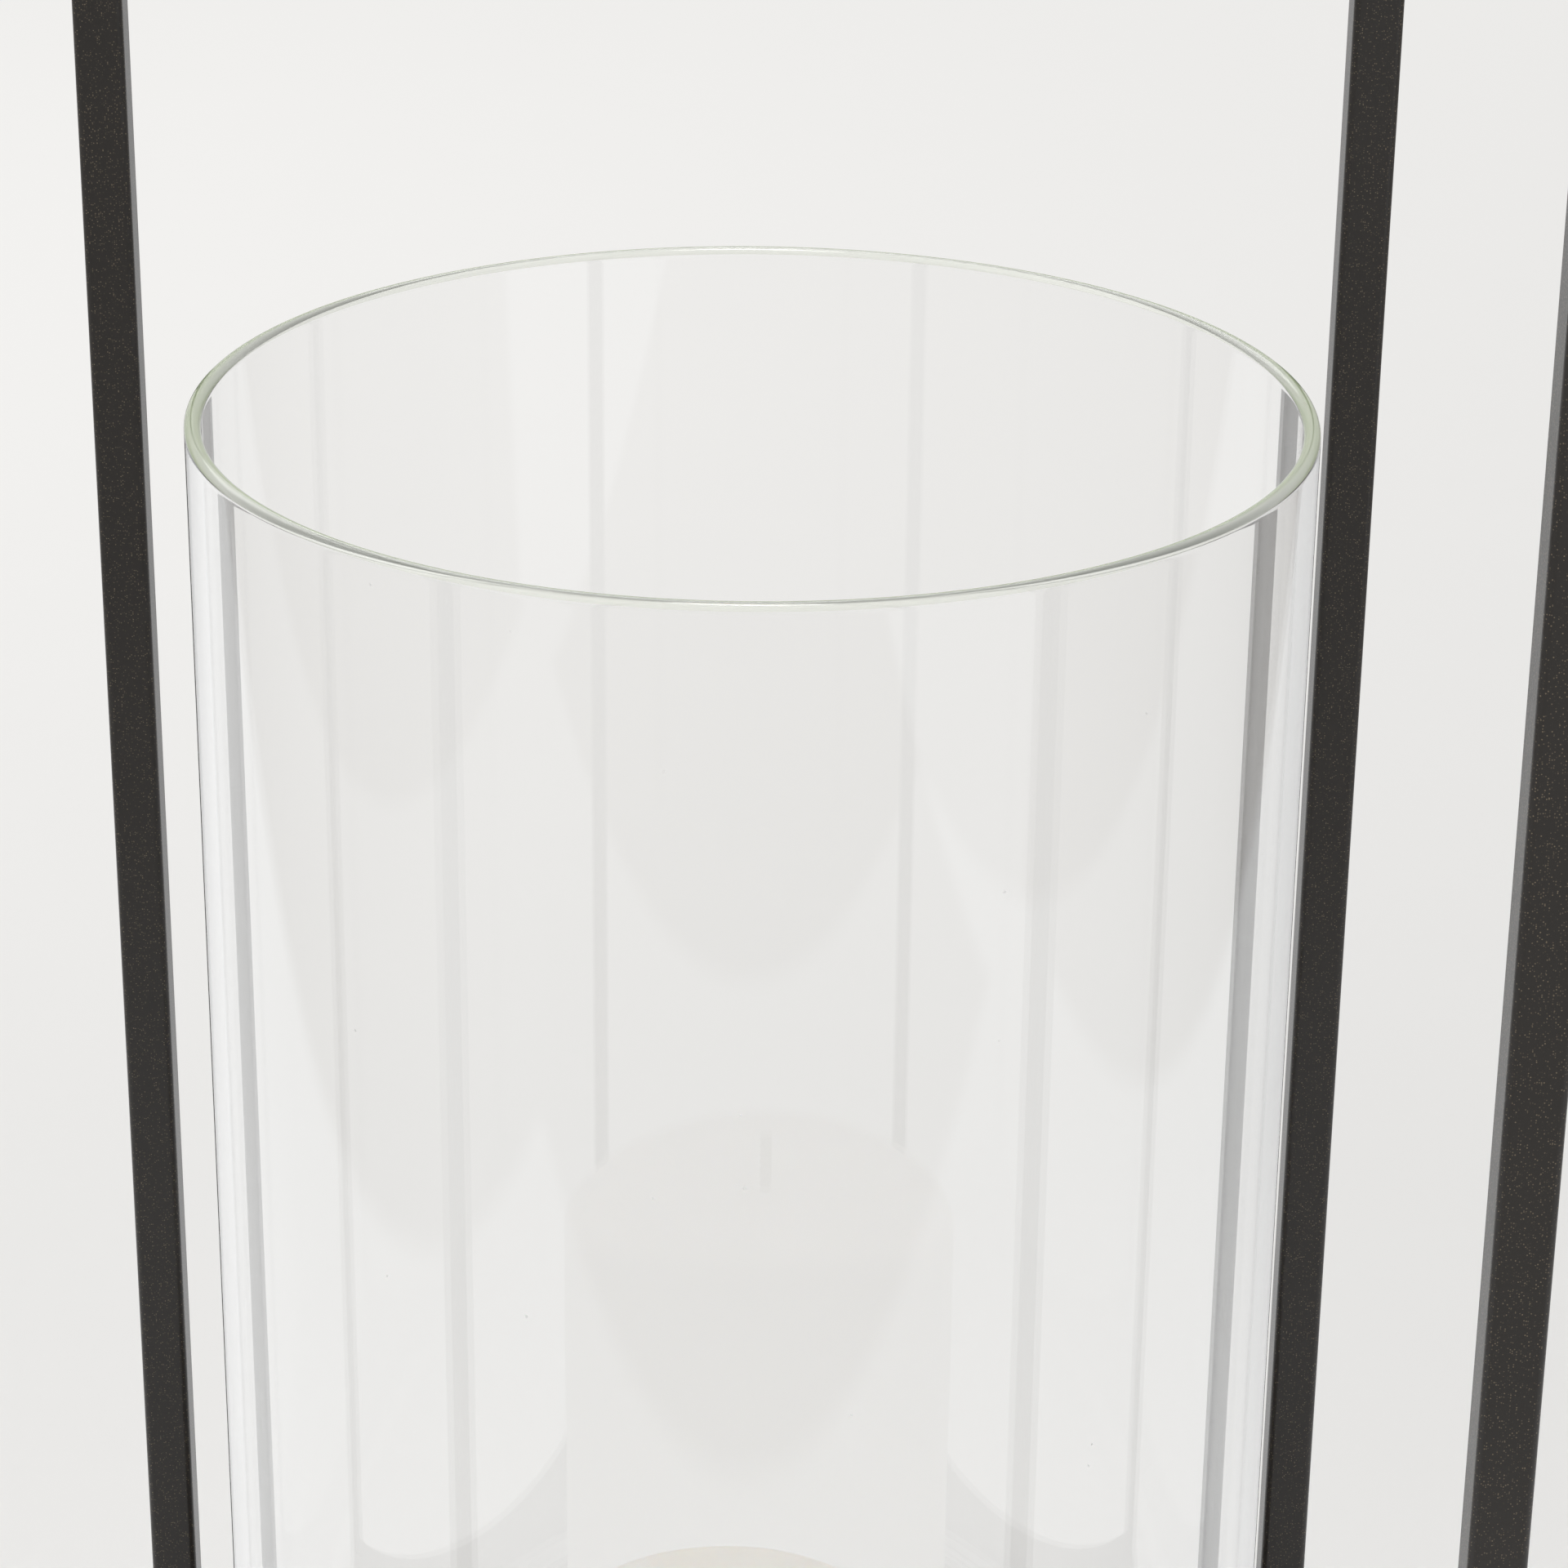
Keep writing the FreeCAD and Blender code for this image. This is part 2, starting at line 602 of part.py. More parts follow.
def make_bail():
    """A round bar bent to a wide U, lying back over the top frame, with a flat eye at each end."""
    shapes = []
    bores = []
    bend_place = f"({HANDLE_REACH} - sizes.handle_bend)"
    for side, way in SIDES.items():
        arm_x = f"{way} * {BAR_CENTRE}"
        flat_x = f"{arm_x} - sizes.eye_thickness / 2"
        arm_start = "sizes.neck_length - sizes.neck_lap"
        shapes += [
            solid("Cylinder", f"eye_{side}", flat_x, "0", PIVOT_HEIGHT, ALONG_X,
                  Radius="sizes.eye_radius", Height="sizes.eye_thickness"),
            solid("Box", f"neck_{side}", flat_x, "0", f"{PIVOT_HEIGHT} - sizes.handle_radius",
                  Length="sizes.eye_thickness", Width="sizes.neck_length", Height="2 * sizes.handle_radius"),
            solid("Cylinder", f"arm_{side}", arm_x, arm_start, PIVOT_HEIGHT, ALONG_Y,
                  Radius="sizes.handle_radius", Height=f"{bend_place} - ({arm_start})"),
        ]
        bend = solid("Torus", f"bend_{side}", f"{way} * {bend_place}", bend_place, PIVOT_HEIGHT,
                     FreeCAD.Rotation(Z_DIR, 0 if way > 0 else QUARTER_TURN),
                     Radius1="sizes.handle_bend", Radius2="sizes.handle_radius")
        bend.Angle3 = QUARTER_TURN
        shapes.append(bend)
        bores.append(solid("Cylinder", f"eye_bore_{side}", flat_x, "0", PIVOT_HEIGHT, ALONG_X,
                           Radius="sizes.pin_radius + sizes.pin_clearance", Height="sizes.eye_thickness"))
    shapes.append(solid("Cylinder", "cross_bar", f"-{bend_place}", HANDLE_REACH, PIVOT_HEIGHT, ALONG_X,
                        Radius="sizes.handle_radius", Height=f"2 * {bend_place}"))
    keep(cut("handle_bail", fuse("bail_bar", shapes), group("eye_bores", bores)))


def make_bumpers():
    """Rubber buttons on the front and back rails, on which the folded handle lies."""
    bumpers = []
    height = f"{PIVOT_RISE} - sizes.handle_radius - sizes.bumper_gap"
    for right in (-1, 1):
        for back in (-1, 1):
            bumpers.append(solid(
                "Cone", f"bumper_{len(bumpers)}", f"{right} * sizes.bumper_spacing / 2",
                f"{back} * {HANDLE_REACH}", "sizes.frame_height", Radius1="sizes.bumper_radius",
                Radius2="sizes.bumper_top_radius", Height=height))
    keep(group("handle_bumpers", bumpers))


make_posts()
make_rails()
make_end_plugs()
make_base_plate()
make_rivets()
make_glass_seat()
make_glass()
make_candle_dish()
make_candle_spike()
make_spike_nut()
make_candle()
for bracket_side, bracket_way in SIDES.items():
    make_bracket(bracket_side, bracket_way)
make_pivot_pins()
make_bail()
make_bumpers()
doc.recompute()

for item in doc.Objects:
    if {"Invalid", "Error"} & set(item.State):
        raise RuntimeError(f"{item.Label} failed: {item.State}")
for piece in pieces:
    if piece.Shape.isNull() or not piece.Shape.isValid():
        raise RuntimeError(f"{piece.Label} has no valid shape")

os.makedirs("parts", exist_ok=True)
for piece in pieces:
    piece.Shape.exportStep(f"parts/{piece.Label}.step")
print(f"{len(pieces)} sub-parts written")
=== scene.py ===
import math

import bpy
from mathutils import Matrix, Vector, noise


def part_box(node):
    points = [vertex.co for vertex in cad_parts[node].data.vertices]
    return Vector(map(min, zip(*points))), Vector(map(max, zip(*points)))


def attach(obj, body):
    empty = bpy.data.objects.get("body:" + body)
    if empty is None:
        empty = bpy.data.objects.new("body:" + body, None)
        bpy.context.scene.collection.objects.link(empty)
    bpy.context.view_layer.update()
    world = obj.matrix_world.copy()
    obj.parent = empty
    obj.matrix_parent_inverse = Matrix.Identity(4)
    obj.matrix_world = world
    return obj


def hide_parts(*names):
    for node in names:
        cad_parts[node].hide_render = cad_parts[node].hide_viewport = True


bl_info = {
    "name": "Hurricane candle lantern",
    "version": (1, 0, 0),
    "blender": (4, 5, 0),
    "location": "3D View > Sidebar > Lantern",
    "description": "Dresses the lantern's solids with clear glass, wax, cotton, welds and powder coat",
    "category": "Object",
}

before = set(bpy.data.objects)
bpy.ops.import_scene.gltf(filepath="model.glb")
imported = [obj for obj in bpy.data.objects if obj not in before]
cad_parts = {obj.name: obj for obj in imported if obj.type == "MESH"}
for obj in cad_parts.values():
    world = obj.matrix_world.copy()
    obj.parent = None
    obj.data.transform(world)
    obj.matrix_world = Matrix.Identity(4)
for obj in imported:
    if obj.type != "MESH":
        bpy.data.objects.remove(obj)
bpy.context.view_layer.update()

MM = 0.001
FULL_TURN = 2 * math.pi
WHITE = (1.0, 1.0, 1.0, 1.0)
GLASS_IOR = 1.52

# Places read from the frame, in metres
GLASS_LOW, GLASS_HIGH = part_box("hurricane_glass")
CANDLE_LOW, CANDLE_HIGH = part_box("candle_body")
WICK_LOW, WICK_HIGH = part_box("candle_wick")
SPIKE_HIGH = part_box("candle_spike")[1]
RIVETS_LOW, RIVETS_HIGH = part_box("base_plate_rivets")
PLATE_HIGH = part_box("base_plate")[1]
POST_LOW, POST_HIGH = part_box("post_front_right")
TOP_RAIL_LOW, TOP_RAIL_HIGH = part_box("top_rail_front")
LOW_RAIL_LOW, LOW_RAIL_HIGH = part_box("bottom_rail_front")
GLASS_AXIS = (GLASS_LOW + GLASS_HIGH) / 2
CANDLE_AXIS = (CANDLE_LOW + CANDLE_HIGH) / 2

# Edges of the white table and of a white board beyond it, which only reflections show.
# Each is the share of x and of y in a distance, and the distance in metres at which the white begins.
TABLE_EDGES = ((0, 1, -0.768), (-1, 0, -1.018), (0.941, 0.336, -0.888))
BOARD_EDGES = ((0.972, -0.237, 1.016), (-0.474, -0.88, 0.131))

# Sockets of the mix node that carry colours
MIX_FIRST, MIX_SECOND, MIX_COLOUR = 6, 7, 2


def to_linear(hex_colour):
    """Turns an sRGB hex colour such as #363533 into linear red, green and blue."""
    channels = [int(hex_colour[i:i + 2], 16) / 255 for i in (1, 3, 5)]
    return tuple(c / 12.92 if c <= 0.04045 else ((c + 0.055) / 1.055) ** 2.4 for c in channels)


def number(title, words, default, **options):
    """A property that holds a number."""
    return bpy.props.FloatProperty(name=title, description=words, default=default, **options)


def length(title, words, default):
    """A property that holds a length in metres."""
    return number(title, words, default, min=0.0, precision=5, unit="LENGTH")


def angle(title, words, default):
    """A property that holds an angle in radians."""
    return number(title, words, default, subtype="ANGLE")


def colour(title, words, hex_colour):
    """A property that holds a colour."""
    return bpy.props.FloatVectorProperty(
        name=title, description=words, default=to_linear(hex_colour),
        size=3, min=0.0, max=1.0, subtype="COLOR",
    )


class LanternSizes(bpy.types.PropertyGroup):
    """Lengths that the dressed pieces are made from."""

    glass_wall: length("Glass wall", "Thickness of the glass sleeve's wall", 3.0 * MM)
    glass_rim_round: length("Glass rim round", "Radius of the fire-polished rim", 1.45 * MM)
    glass_foot_round: length("Glass foot round", "Radius of the ground foot edge", 0.6 * MM)
    candle_shoulder: length("Candle shoulder", "Radius of the candle's top edge", 3.0 * MM)
    candle_pool: length("Candle pool", "Radius of the hollow round the wick", 26.0 * MM)
    candle_pool_depth: length("Candle pool depth", "Depth of the hollow round the wick", 2.5 * MM)
    candle_sag: length("Candle sag", "How far the top sinks as the wax cools", 0.15 * MM)
    candle_unevenness: length("Candle unevenness", "How far the cast wax wanders from true", 0.15 * MM)
    candle_wave: length("Candle wave", "Length of the waves in the cast wax", 22.0 * MM)
    candle_hole: length("Candle hole", "Radius of the hole that the spike stands in", 2.1 * MM)
    candle_hole_head: length("Candle hole head", "Air above the spike in its hole", 1.0 * MM)
    candle_lip: length("Candle lip", "Width over which the top turns down to the hollow", 3.0 * MM)
    wick_pitch: length("Wick pitch", "Length of one full turn of the wick's strands", 6.0 * MM)
    weld_pitch: length("Weld pitch", "Distance from ripple to ripple along a weld", 0.9 * MM)
    weld_radius: length("Weld radius", "Half the width of a weld bead", 0.75 * MM)
    weld_sink: length("Weld sink", "How far a bead's middle lies past the end of its rail", 0.6 * MM)
    rivet_head: length("Rivet head", "Radius of a rivet's domed head", 3.2 * MM)
    rivet_shank: length("Rivet shank", "Radius of a rivet's shank", 1.55 * MM)
    rivet_spacing: length("Rivet spacing", "Distance of a rivet from the middle of its rail", 75.0 * MM)


class LanternColours(bpy.types.PropertyGroup):
    """Colours of the finishes."""

    powder_coat: colour("Powder coat", "Charcoal of the powder coat", "#2e2b28")
    powder_fleck: colour("Powder fleck", "Metallic flecks in the powder coat", "#9a8a73")
    glass_tint: colour("Glass tint", "Colour that long paths in the glass turn to", "#a9c08f")
    # The two rim colours are a painted glow that stands in for light caught in the glass wall, not the
    # glass's own colour
    rim_painted_glow_pale: colour("Rim pale", "Lighter green of the fire-polished rim", "#fbfef4")
    rim_painted_glow_green: colour("Rim deep", "Deeper green of the fire-polished rim", "#c6d2b0")
    wax: colour("Wax", "Off-white of the candle", "#fffbf5")
    wax_shade: colour("Wax shade", "Slightly warmer clouds in the wax", "#faf3ea")
    cotton: colour("Cotton", "Waxed cotton of the wick", "#d9d0bd")
    # This darker colour is painted shade for the hollows between the wick's fibres
    cotton_painted_shade: colour("Cotton shade", "Hollows between the wick's fibres", "#8f8573")
    plastic: colour("Plastic", "Black of the moulded feet", "#1d1d1e")
    rubber: colour("Rubber", "Black of the handle bumpers", "#222120")
    silicone: colour("Silicone", "Milky clear of the gasket", "#dfe2e0")
    zinc: colour("Zinc", "Bright zinc plating", "#b4b6b8")
    zinc_haze: colour("Zinc haze", "Bluish haze on the plating", "#98a2ad")
    floor: colour("Floor", "White paper that the lantern stands on", "#f1f0ee")
    surround: colour("Surround", "Studio beyond the table, seen only as a reflection", "#d0cdca")


class LanternStage(bpy.types.PropertyGroup):
    """Place of the camera, level of the lights and reach of the floor."""

    camera_distance: length("Camera distance", "Camera in front of the glass's axis", 767.0 * MM)
    camera_rise: length("Camera rise", "Camera above the glass's rim", 253.6 * MM)
    camera_pitch: angle("Camera pitch", "Angle that the camera looks down", 0.40251)
    camera_yaw: angle("Camera yaw", "Angle that the camera looks to the right", 0.00808)
    camera_roll: angle("Camera roll", "Angle that the camera is tipped", 0.01085)
    camera_lens: number("Camera lens", "Focal length in millimetres on a 36 mm sensor", 104.5)
    world_level: number("World level", "Strength of the even light from all round", 0.68)
    key_power: number("Key power", "Watts of the large softbox at the left", 5.0)
    fill_power: number("Fill power", "Watts of the softbox at the right", 0.2)
    back_power: number("Back power", "Watts of the softbox over the floor behind", 15.0)
    top_power: number("Top power", "Watts of the gridded softbox above the lantern", 0.15)
    table_drop: length("Table drop", "How far below the floor the mirrored table lies", 0.15)
    floor_reach: length("Floor reach", "Distance from the lantern to the floor's edges", 30.0)
    paper_near: length("Paper near", "Distance within which the paper is lit by the lamps alone", 1.0)
    paper_far: length("Paper far", "Distance from which the paper is plain backdrop", 3.2)
    mirror_level: number("Mirror level", "Brightness of the white table where it is seen mirrored", 0.98)
    mirror_corner: number("Mirror corner", "Brightness of that table in its far right corner", 0.78)


def add_node(tree, kind, inputs=None, **settings):
    """Adds a node and sets its options. Each input is a plain value, or an output to link to."""
    node = tree.nodes.new(kind)
    for name, value in settings.items():
        setattr(node, name, value)
    for socket, value in (inputs or {}).items():
        if isinstance(value, bpy.types.NodeSocket):
            tree.links.new(value, node.inputs[socket])
        else:
            node.inputs[socket].default_value = value
    return node


def calculate(tree, operation, *terms):
    """Result of a math node."""
    return add_node(tree, "ShaderNodeMath", dict(enumerate(terms)), operation=operation).outputs["Value"]


def distance_along(tree, place, direction):
    """How far a place lies along a direction."""
    inputs = {0: place, 1: direction}
    return add_node(tree, "ShaderNodeVectorMath", inputs, operation="DOT_PRODUCT").outputs["Value"]


def remap(tree, value, low=0.0, high=1.0, start=0.0, end=1.0, curve="LINEAR"):
    """Turns values from start to end into values from low to high, and holds those beyond."""
    inputs = {"Value": value, "From Min": start, "From Max": end, "To Min": low, "To Max": high}
    return add_node(tree, "ShaderNodeMapRange", inputs, interpolation_type=curve).outputs["Result"]


def per_metre(millimetres):
    """Pattern scale at which one repeat is so many millimetres long."""
    return 1 / (millimetres * MM)


def mottle(tree, place, millimetres, detail, **more):
    """Noise from 0 to 1 with waves of so many millimetres."""
    inputs = {"Vector": place, "Scale": per_metre(millimetres), "Detail": detail, **more}
    return add_node(tree, "ShaderNodeTexNoise", inputs).outputs["Fac"]


def bump(tree, height, strength, millimetres, **more):
    """Normal of a surface that rises by so many millimetres where the height is 1."""
    inputs = {"Height": height, "Strength": strength, "Distance": millimetres * MM, **more}
    return add_node(tree, "ShaderNodeBump", inputs).outputs["Normal"]


def with_alpha(rgb, scale=1.0):
    """A colour as a shader socket holds it, made lighter or darker by a scale."""
    return (*(min(1.0, c * scale) for c in rgb), 1.0)


def blend(tree, factor, first, second):
    """Colour that goes from the first to the second as the factor goes from 0 to 1."""
    inputs = {"Factor": factor, MIX_FIRST: first, MIX_SECOND: second}
    return add_node(tree, "ShaderNodeMix", inputs, data_type="RGBA").outputs[MIX_COLOUR]


def new_material(name):
    """An empty node material, its tree, and the place on the object that its patterns read."""
    material = bpy.data.materials.new(name)
    material.use_nodes = True
    tree = material.node_tree
    tree.nodes.clear()
    return material, tree, add_node(tree, "ShaderNodeTexCoord").outputs["Object"]


def end_material(tree, inputs, **others):
    """Closes a material with a principled shader."""
    shader = add_node(tree, "ShaderNodeBsdfPrincipled", inputs)
    add_node(tree, "ShaderNodeOutputMaterial", {"Surface": shader.outputs["BSDF"], **others})


def powder_coated_steel(colours):
    """Charcoal powder coat, baked on: a fine orange peel with metallic flecks and a satin shine."""
    material, tree, place = new_material("Powder_coated_steel_charcoal")
    # Flecks are 0.05 mm in the real coat and are drawn at about 0.3 mm, so that they show
    cells = add_node(tree, "ShaderNodeTexVoronoi", {"Vector": place, "Scale": per_metre(0.36)})
    chance = add_node(tree, "ShaderNodeSeparateColor", {"Color": cells.outputs["Color"]}).outputs["Red"]
    chosen = remap(tree, chance, high=0.7, start=0.62)
    spot = remap(tree, cells.outputs["Distance"], start=0.42, end=0.2)
    fleck = calculate(tree, "MULTIPLY", chosen, spot)
    shade = blend(
        tree, mottle(tree, place, millimetres=38.0, detail=3.0),
        with_alpha(colours.powder_coat, 0.86), with_alpha(colours.powder_coat, 1.14),
    )
    waves = mottle(tree, place, millimetres=1.3, detail=2.0)
    peel = bump(tree, waves, strength=0.35, millimetres=0.12)
    grit = mottle(tree, place, millimetres=0.4, detail=1.0)
    end_material(tree, {
        "Base Color": blend(tree, fleck, shade, with_alpha(colours.powder_fleck)),
        "Roughness": remap(tree, grit, low=0.26, high=0.42),
        "Normal": bump(tree, grit, strength=0.3, millimetres=0.04, Normal=peel),
        "IOR": 1.5,
        "Specular IOR Level": 0.3,
        "Coat Weight": 0.15,
        "Coat Roughness": 0.16,
    })
    return material


def soda_lime_glass(colours):
    """Clear soda-lime glass: sharp reflections, a green tint over long paths and a few dust specks."""
    material, tree, place = new_material("Soda_lime_glass_clear")
    # Specks of about 0.7 mm, one in some 22 mm
    dust = add_node(tree, "ShaderNodeTexVoronoi", {"Vector": place, "Scale": per_metre(22.0)})
    speck = remap(tree, dust.outputs["Distance"], high=0.5, start=0.02, end=0.012)
    tint = add_node(
        tree, "ShaderNodeVolumeAbsorption", {"Color": with_alpha(colours.glass_tint), "Density": 1.6}
    )
    end_material(
        tree, {"Base Color": WHITE, "Transmission Weight": 1.0, "IOR": GLASS_IOR, "Roughness": speck},
        Volume=tint.outputs["Volume"],
    )
    return material


def rim_glass_with_painted_glow(colours):
    """Melted rim of the glass: clearer where it faces the eye. Its colour holds a painted glow, paler where
    it faces the eye and pale green where it is seen along the wall, standing in for light caught in the
    wall that comes out there."""
    material, tree, place = new_material("Soda_lime_glass_rim_painted_glow")
    along = add_node(tree, "ShaderNodeLayerWeight", {"Blend": 0.5}).outputs["Facing"]
    depth = remap(tree, along, start=0.54, end=0.72)
    # Waves of about 16 mm that the flame leaves in the rim
    flow = mottle(tree, place, millimetres=16.0, detail=3.0)
    end_material(tree, {
        # Base colour is a painted glow: pale where the rim faces the eye, green where it is seen along the
        # wall
        "Base Color": blend(tree, depth, with_alpha(colours.rim_painted_glow_pale), with_alpha(colours.rim_painted_glow_green)),
        "Transmission Weight": remap(tree, along, low=0.66, high=0.3, start=0.3, end=0.66),
        "Roughness": remap(tree, flow, low=0.01, high=0.07),
        "IOR": GLASS_IOR,
    })
    return material


def paraffin_wax(colours):
    """Cast paraffin: light soaks in, faint warm clouds, and a soft sheen with tiny pits."""
    material, tree, place = new_material("Paraffin_wax_ivory")
    clouds = mottle(tree, place, millimetres=14.0, detail=4.0, Roughness=0.6)
    frost = mottle(tree, place, millimetres=1.1, detail=3.0)
    end_material(tree, {
        "Base Color": blend(tree, clouds, with_alpha(colours.wax), with_alpha(colours.wax_shade)),
        "Roughness": remap(tree, frost, low=0.38, high=0.62),
        "Normal": bump(tree, frost, strength=0.25, millimetres=0.1),
        "IOR": 1.43,
        "Subsurface Weight": 0.25,
        "Subsurface Scale": 5 * MM,
        "Subsurface Radius": (1.0, 0.75, 0.5),
    })
    return material


def waxed_cotton(colours):
    """Twisted cotton dipped in wax: pale threads with painted shade in the hollows between them, and a dull
    shine.
    """
    material, tree, place = new_material("Waxed_cotton_wick")
    fibres = mottle(tree, place, millimetres=0.35, detail=3.0)
    end_material(tree, {
        # Where the fibre bump sinks the colour turns darker: painted shade in the hollows
        "Base Color": blend(tree, fibres, with_alpha(colours.cotton_painted_shade), with_alpha(colours.cotton)),
        "Roughness": remap(tree, fibres, low=0.55, high=0.85),
        "Normal": bump(tree, fibres, strength=0.5, millimetres=0.08),
        "IOR": 1.5,
    })
    return material


def moulded(name, rgb, grain_size, rough_low, rough_high, ior, clear=0.0):
    """A moulded part: one body colour, mottled a little, with a fine grain of so many millimetres."""
    material, tree, place = new_material(name)
    clouds = mottle(tree, place, millimetres=grain_size * 12, detail=3.0)
    grain = mottle(tree, place, millimetres=grain_size, detail=2.0)
    end_material(tree, {
        "Base Color": blend(tree, clouds, with_alpha(rgb, 0.8), with_alpha(rgb, 1.2)),
        "Roughness": remap(tree, grain, low=rough_low, high=rough_high),
        "Normal": bump(tree, grain, strength=0.3, millimetres=0.06),
        "IOR": ior,
        "Transmission Weight": clear,
    })
    return material


def moulded_polyethylene(colours):
    """Black moulded polyethylene: dull, slightly waxy, with a fine mould grain."""
    return moulded(
        "Moulded_polyethylene_black", colours.plastic,
        grain_size=0.5, rough_low=0.42, rough_high=0.6, ior=1.51,
    )


def moulded_rubber(colours):
    """Black moulded rubber: matt, with a dusty look and very little shine."""
    return moulded(
        "Moulded_rubber_black", colours.rubber,
        grain_size=0.4, rough_low=0.7, rough_high=0.9, ior=1.52,
    )


def moulded_silicone(colours):
    """Milky clear silicone: soft shine, light passes in part."""
    return moulded(
        "Moulded_silicone_clear", colours.silicone,
        grain_size=0.6, rough_low=0.3, rough_high=0.45, ior=1.41, clear=0.7,
    )


def zinc_plated_steel(colours):
    """Bright zinc plating on turned steel: grey metal with a bluish haze and fine turning marks."""
    material, tree, place = new_material("Zinc_plated_steel_bright")
    haze = mottle(tree, place, millimetres=4.0, detail=3.0)
    # Marks about 1 mm apart
    turning = add_node(
        tree, "ShaderNodeTexWave",
        {"Vector": place, "Scale": per_metre(0.5) / FULL_TURN, "Distortion": 0.6}, bands_direction="Z",
    )
    end_material(tree, {
        "Base Color": blend(tree, haze, with_alpha(colours.zinc), with_alpha(colours.zinc_haze)),
        "Roughness": remap(tree, haze, low=0.22, high=0.4),
        "Normal": bump(tree, turning.outputs["Fac"], strength=0.2, millimetres=0.03),
        "Metallic": 1.0,
    })
    return material


FINISHES = {
    "charcoal_powder_coat": powder_coated_steel,
    "clear_glass": soda_lime_glass,
    "candle_wax": paraffin_wax,
    "wick_cotton": waxed_cotton,
    "black_plastic": moulded_polyethylene,
    "black_rubber": moulded_rubber,
    "clear_silicone": moulded_silicone,
    "zinc_plated_steel": zinc_plated_steel,
}
made_finishes = {}


def finish(slot_name):
    """The material for a slot of the record, made once."""
    if slot_name not in made_finishes:
        made_finishes[slot_name] = FINISHES[slot_name](bpy.context.scene.lantern_colours)
    return made_finishes[slot_name]


def add_piece(name, mesh, body, slot_name, *nodes):
    """Puts a finished mesh into the scene as a piece that rides on a body and stands for CAD nodes."""
    mesh.materials.clear()
    mesh.materials.append(finish(slot_name))
    piece = bpy.data.objects.new(name, mesh)
    bpy.context.scene.collection.objects.link(piece)
    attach(piece, body)
    if nodes:
        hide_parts(*nodes)
    return piece


def arc(centre_radius, centre_height, radius, start, end, steps):
    """Points of an arc in the plane of radius and height, with angles in degrees from outwards to up."""
    angles = [math.radians(start + (end - start) * i / steps) for i in range(steps + 1)]
    return [(centre_radius + radius * math.cos(a), centre_height + radius * math.sin(a)) for a in angles]


def lathe(name, outline, axis, segments, closed, wander=None):
    """A smooth mesh turned from an outline of radius and height; a radius of 0 is a pole."""
    points, rings = [], []
    for radius, height in outline:
        count = 1 if radius == 0 else segments
        ring = []
        for i in range(count):
            turn = FULL_TURN * i / segments
            point = Vector((radius * math.cos(turn), radius * math.sin(turn), height))
            if wander:
                point += wander(point)
            ring.append(len(points))
            points.append(point + Vector((axis.x, axis.y, 0)))
        rings.append(ring)
    faces = []
    pairs = list(zip(rings, rings[1:]))
    if closed:
        pairs.append((rings[-1], rings[0]))
    for low, high in pairs:
        for i in range(segments):
            below = [low[i % len(low)], low[(i + 1) % len(low)]]
            above = [high[(i + 1) % len(high)], high[i % len(high)]]
            # At a pole two corners are one, and the face is a triangle
            faces.append(list(dict.fromkeys(below + above)))
    mesh = bpy.data.meshes.new(name)
    mesh.from_pydata(points, [], faces)
    mesh.validate()
    mesh.shade_smooth()
    return mesh


class LANTERN_OT_finishes(bpy.types.Operator):
    """Gives each solid of the frame the finish of its material slot"""

    bl_idname = "lantern.finishes"
    bl_label = "Finish the solids"

    def execute(self, context):
        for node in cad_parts.values():
            for slot in node.material_slots:
                slot.material = finish(slot.name)
        return {"FINISHED"}


class LANTERN_OT_glass(bpy.types.Operator):
    """Turns the clear glass sleeve with its fire-polished rim"""

    bl_idname = "lantern.glass"
    bl_label = "Glass sleeve"

    def execute(self, context):
        sizes = context.scene.lantern_sizes
        outer = (GLASS_HIGH.x - GLASS_LOW.x) / 2
        inner = outer - sizes.glass_wall
        rim, foot = sizes.glass_rim_round, sizes.glass_foot_round
        top, bottom = GLASS_HIGH.z, GLASS_LOW.z
        around, rim_steps, foot_steps = 384, 8, 5
        # Points just past each round keep the long walls true to the cylinder
        hold = 0.5 * MM
        outline = [
            (outer, bottom + foot + hold),
            (outer, top - rim - hold),
            *arc(outer - rim, top - rim, rim, 0, 90, rim_steps),
            *arc(inner + rim, top - rim, rim, 90, 180, rim_steps),
            (inner, top - rim - hold),
            (inner, bottom + foot + hold),
            *arc(inner + foot, bottom + foot, foot, 180, 270, foot_steps),
            *arc(outer - foot, bottom + foot, foot, 270, 360, foot_steps),
        ]
        mesh = lathe("glass_sleeve", outline, GLASS_AXIS, around, closed=True)
        sleeve = add_piece("glass_sleeve", mesh, "glass", "clear_glass", "hurricane_glass")
        # The rim's faces get the material with the painted glow
        sleeve.data.materials.append(rim_glass_with_painted_glow(context.scene.lantern_colours))
        # Height from which the flame has melted the edge
        melted = top - rim * 0.75
        for face in sleeve.data.polygons:
            face.material_index = int(face.center.z > melted)
        return {"FINISHED"}


